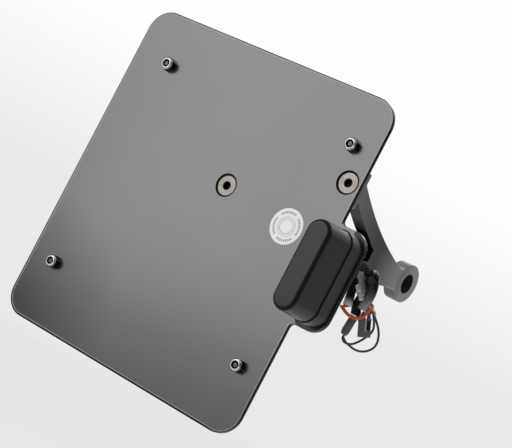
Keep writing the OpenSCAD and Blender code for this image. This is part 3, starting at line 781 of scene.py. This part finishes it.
# %% Rubber boots
def into_mesh(piece):
    """Turns a curve into a mesh without doubles, its faces outwards."""
    select_only(piece)
    bpy.ops.object.convert(target="MESH")
    bpy.ops.object.mode_set(mode="EDIT")
    bpy.ops.mesh.select_all(action="SELECT")
    bpy.ops.mesh.remove_doubles(threshold=0.000001)
    bpy.ops.mesh.normals_make_consistent(inside=False)
    bpy.ops.object.mode_set(mode="OBJECT")


def one_skin(piece, voxel, rounds):
    """Melts a mesh into one closed skin and smooths it."""
    remesh = piece.modifiers.new("skin", "REMESH")
    remesh.mode, remesh.voxel_size = "VOXEL", voxel
    smooth = piece.modifiers.new("smooth", "SMOOTH")
    smooth.iterations, smooth.factor = rounds, 0.5
    for modifier in ("skin", "smooth"):
        bpy.ops.object.modifier_apply(modifier=modifier)
    bpy.ops.object.shade_smooth()


def bore(piece, low, high, radius):
    """Opens a round hole between two points."""
    run = high - low
    bpy.ops.object.select_all(action="DESELECT")
    bpy.ops.mesh.primitive_cylinder_add(vertices=40, radius=radius, depth=run.length,
                                        location=(low + high) / 2,
                                        rotation=run.to_track_quat("Z", "Y").to_euler())
    tool = bpy.context.object
    cut = piece.modifiers.new("bore", "BOOLEAN")
    cut.object, cut.operation, cut.solver = tool, "DIFFERENCE", "EXACT"
    select_only(piece)
    bpy.ops.object.modifier_apply(modifier="bore")
    bpy.data.objects.remove(tool)
    bpy.ops.object.shade_smooth_by_angle(angle=radians(40))


MM = 0.001
RUBBER_VOXEL = 0.00028
elbow = tube("elbow_boot_skin", [in_bundle(*p) for p in [
    (3.6, 0, 94.5), (3.6, 0, 95.2), (3.6, 0, 98), (3.6, 0, 102), (3.2, 0, 105.6), (1.9, 0, 109),
    (0.6, -0.1, 111.4), (-0.2, -0.7, 112.7), (-1.2, -2.2, 113.2), (-2.3, -3.9, 113.8),
    (-3.1, -5.3, 114.4)]], MM, [3.1, 3.1, 3.0, 3.05, 3.4, 4.1, 4.6, 4.6, 4.1, 3.2, 2.9])
into_mesh(elbow)
one_skin(elbow, RUBBER_VOXEL, 6)
bore(elbow, in_bundle(3.6, 0, 92.5), in_bundle(3.6, 0, 97.5), radius=0.0024)
spare = tube("spare_boot_skin", [in_bundle(*p) for p in [
    (-4.9, 0, 93.1), (-5.03, 0, 93.8), (-5.6, 0, 96.8), (-6.3, 0, 100.5), (-7, 0, 104.2),
    (-7.6, 0, 107.4), (-7.85, 0, 108.8)]], MM, [2.7, 2.7, 2.62, 2.5, 2.4, 2.2, 1.4])
into_mesh(spare)
one_skin(spare, RUBBER_VOXEL, 6)
bore(spare, in_bundle(-4.6, 0, 91.5), in_bundle(-5.5, 0, 96.5), radius=0.0019)
core = tube("core_sleeve_skin", [in_bundle(*p) for p in [
    (1.1, 0.6, 90.1), (1.1, 0.6, 90.8), (1, 0.7, 92.1), (0.3, 1.4, 93.2), (-0.8, 2.5, 94.6),
    (-1, 2.6, 96), (-1, 2.6, 98), (-1, 2.6, 100.6)]], MM, [2.5, 2.9, 3, 2.6, 2, 2, 2, 1.7])
into_mesh(core)
one_skin(core, RUBBER_VOXEL, 4)
for piece, node, finish in ((elbow, "elbow_boot", "sheened_boot"), (spare, "spare_boot", "sheened_spare_boot"),
                            (core, "core_sleeve", "black_rubber")):
    paint(piece, "black_rubber", finish)
    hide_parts(node)
    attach(piece, "root")
    print(piece.name, len(piece.data.polygons), "faces")

# %% [markdown]
# ## Band, plug, socket and bullet
#
# The band is a closed curve. Plug and bullet keep their solids' shapes with eased edges, and the
# socket is remeshed, so that its corners turn soft and its mouth stays open.

# %% Band, plug, socket and bullet
band = tube("rubber_band_skin", [in_bundle(*p) for p in [
    (7.8, -0.6, 98.3), (7.1, -3.2, 96.6), (6.2, -4.4, 93.8), (4.9, -4.9, 91), (2.4, -5, 89.1),
    (-0.9, -4.9, 88.6), (-4, -4.6, 89.3), (-6.2, -3.6, 90.4), (-7.3, -1.5, 91.1), (-7.5, 0.8, 91.3),
    (-6.8, 3, 91.6), (-4.8, 4.9, 93), (-1.9, 5.6, 95.2), (1.4, 5.3, 97.4), (4.6, 4.6, 98.9),
    (7, 2.8, 99.4)]], radius=0.00095, closed=True)
into_mesh(band)
bpy.ops.object.shade_smooth()
paint(band, "band_orange")
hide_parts("rubber_band")
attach(band, "root")
plug = eased("plug_sleeve", "sleeve_grey", 0.0002)
socket = eased("socket_sleeve", "sleeve_grey", 0)
one_skin(socket, 0.0002, 5)
bullet = eased("bullet_terminal", "tinned", 0.0001)
print("band", len(band.data.polygons), "and socket", len(socket.data.polygons), "faces")

# %% [markdown]
# Three small pieces exist in this scene alone: a pale vinyl sleeve over the bullet, the short wire
# that leads from it to the spare boot, and a tinned crimp on the black lead. Each is a short tube
# along a few points.

# %% Vinyl sleeve, wire and crimp
vinyl = tube("vinyl_sleeve", [in_bundle(*p) for p in [
    (-1, 2.6, 100.95), (-1.2, 2.9, 101.8), (-2, 4.2, 103.6), (-3.5, 5.3, 106.4), (-4.8, 5.2, 109.8),
    (-5.4, 4.6, 113.4)]], MM, [1.6, 2.0, 2.75, 3.1, 2.8, 2.0])
into_mesh(vinyl)
one_skin(vinyl, 0.0003, 3)
paint(vinyl, "sleeve_grey", "pale_vinyl")
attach(vinyl, "root")
bridge = tube("bridge_wire", [in_bundle(*p) for p in [
    (-7.75, 0, 108.2), (-7.95, -0.1, 109.6), (-8.2, -0.4, 111.8), (-8.2, -0.5, 113.8),
    (-7.8, 0.2, 115.9), (-6.9, 1.9, 117.1), (-5.9, 3.7, 116.8), (-5.4, 4.7, 115.2),
    (-5.4, 4.7, 113.4), (-5.3, 4.7, 112.4)]], radius=0.00075)
ferrule = tube("lead_ferrule", [in_bundle(*p) for p in [
    (8.1, 3.3, 96.7), (8.6, 4, 96.95), (9.4, 4.35, 96.8), (10.3, 4.3, 96), (11.1, 4.05, 95.1)]],
    0.0013, [0.8, 1, 1.05, 1, 0.8])
for piece, slot in ((bridge, "lead_black"), (ferrule, "tinned")):
    into_mesh(piece)
    bpy.ops.object.shade_smooth_by_angle(angle=radians(40))
    paint(piece, slot)
    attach(piece, "root")
print("small pieces:", [piece.name for piece in (vinyl, bridge, ferrule)])

# %% [markdown]
# Last, the three cords get their finishes and stand in for their solids, and the length of each
# route is worked out.

# %% Cords
for piece, node, slot, finish in ((lamp_cable, "lamp_cable", "black_rubber", "dark_nylon"),
                                  (black_lead, "black_lead", "lead_black", "lead_black"),
                                  (blue_lead, "blue_lead", "lead_blue", "lead_blue")):
    paint(piece, slot, finish)
    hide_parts(node)
    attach(piece, "root")
run_of(lamp_route)
for lead, route, pieces in ((black_lead, black_route, [plug, ferrule]),
                            (blue_lead, blue_route, [plug])):
    run_of(route)
print("bundle done")

# %% [markdown]
# ## Studio
#
# A pale floor lies well below the object. What the camera sees of it glows evenly, so it stays
# pale whatever the lamps do, and it keeps the object's shadow nearby.

# %% Floor
FLOOR_SIZE, FLOOR_DEPTH, FLOOR_GLOW = 80, 0.32, 0.82
bpy.ops.object.select_all(action="DESELECT")
bpy.ops.mesh.primitive_plane_add(size=FLOOR_SIZE, location=(0, 0, -FLOOR_DEPTH))
floor = bpy.context.object
floor.name = "studio_floor"
paper = Finish("studio_floor", (0.85, 0.85, 0.85), 0.8)
x, y = paper.axis("X"), paper.axis("Y")
far = ((x * x + y * y).maths("SQRT") * 0.5 - 0.1).maths("MINIMUM", 1.0)
seen = paper.add("LightPath", output="Is Camera Ray")
glow = paper.add("Emission", None, {"Color": (FLOOR_GLOW, FLOOR_GLOW, FLOOR_GLOW, 1)})
paper.show(paper.add("MixShader", None, {
    0: seen * far.maths("MAXIMUM", 0.85), 1: Flow(paper, paper.shader.outputs[0]), 2: glow}))
floor.data.materials.append(paper.material)
print("floor ready")

# %% [markdown]
# The surround has three parts, told apart by the kind of ray. The camera, and glass, see a backdrop
# that brightens upwards from the floor's own tone. Dull surfaces get an even grey light. Metal
# mirrors a room that is bright on the left and darker on the right, which is what gives a flat grey
# plate its slow fade. Each tone is a mix of two lights of fixed strength.

# %% Surround
world = bpy.data.worlds.new("studio")
bpy.context.scene.world = world
world.use_nodes = True
sky = Nodes(world.node_tree)


def flat_light(strength):
    """An even surround of one strength."""
    return sky.add("Background", None, {"Color": (1, 1, 1, 1), "Strength": strength})


def between_lights(amount, first, second):
    """A mix of two lights."""
    return sky.add("MixShader", None, {0: amount, 1: first, 2: second})


ambient = Flow(sky, sky.tree.nodes["Background"].outputs[0])
sky.tree.nodes["Background"].inputs["Color"].default_value = (0.6, 0.6, 0.605, 1)
toward = sky.add("TexCoord", output="Generated")
height = sky.add("SeparateXYZ", None, {0: toward}, "Z")
BACKDROP_TOP, BRIGHTEST = 0.985, 1.2
backdrop = between_lights((height * 9.7).limited(), flat_light(FLOOR_GLOW),
                          flat_light(BACKDROP_TOP))
dark_side = Vector((0.83, -0.55, 0.0))
turn = sky.add("VectorMath", {"operation": "DOT_PRODUCT"}, {0: toward, 1: dark_side}, "Value")
room = sky.add("MapRange", {"interpolation_type": "LINEAR"},
               {"Value": turn, "From Min": -0.5, "From Max": 0.5, "To Min": 0.84, "To Max": 0.05})
right = sky.add("SeparateXYZ", None, {0: toward}, "X")
room = (room + height.maths("MAXIMUM", 0.0) * 0.3) * (1 - right).limited(0.3, 1.0)
mirrored = between_lights(room * (1 / BRIGHTEST), flat_light(0.0), flat_light(BRIGHTEST))
camera_ray, glossy_ray, glass_ray = [sky.add("LightPath", output="Is " + kind + " Ray")
                                     for kind in ("Camera", "Glossy", "Transmission")]
lit = between_lights(glossy_ray, ambient, mirrored)
sky.show(between_lights(camera_ray.maths("MAXIMUM", glass_ray), lit, backdrop))
print("surround ready")

# %% [markdown]
# Three soft lamps light the object. The large one stands where the plate mirrors it. One behind and
# one above on the right keep the back and the light's side from going black.


# %% Lamps
def soft_lamp(name, place, target, width, height, power, up=UP):
    """A square of light that faces its target, with one side along up."""
    data = bpy.data.lights.new(name, "AREA")
    data.shape, data.size, data.size_y, data.energy = "RECTANGLE", width, height, power
    lamp = bpy.data.objects.new(name, data)
    bpy.context.scene.collection.objects.link(lamp)
    back = (Vector(place) - Vector(target)).normalized()
    side = up.cross(back).normalized()
    lamp.matrix_world = Matrix.Translation(place) @ Matrix(
        (side, back.cross(side), back)).transposed().to_4x4()
    return lamp


FRONT_UP = Vector((-0.121, 0.105, 0.987))
soft_lamp("front_softbox", (-0.338, -0.648, 0.256), (0.24, 0.168, 0.24), 0.6, 0.7, 1.75, FRONT_UP)
soft_lamp("rear_softbox", (-0.5, 0.75, 0.3), (-0.05, 0.0, 0.0), 0.6, 0.6, 2.2)
soft_lamp("side_softbox", (0.35, 0.15, 0.65), (0.02, 0.0, 0.0), 0.3, 0.3, 0.5)
bpy.context.scene.view_settings.view_transform = "Standard"
print("studio ready")
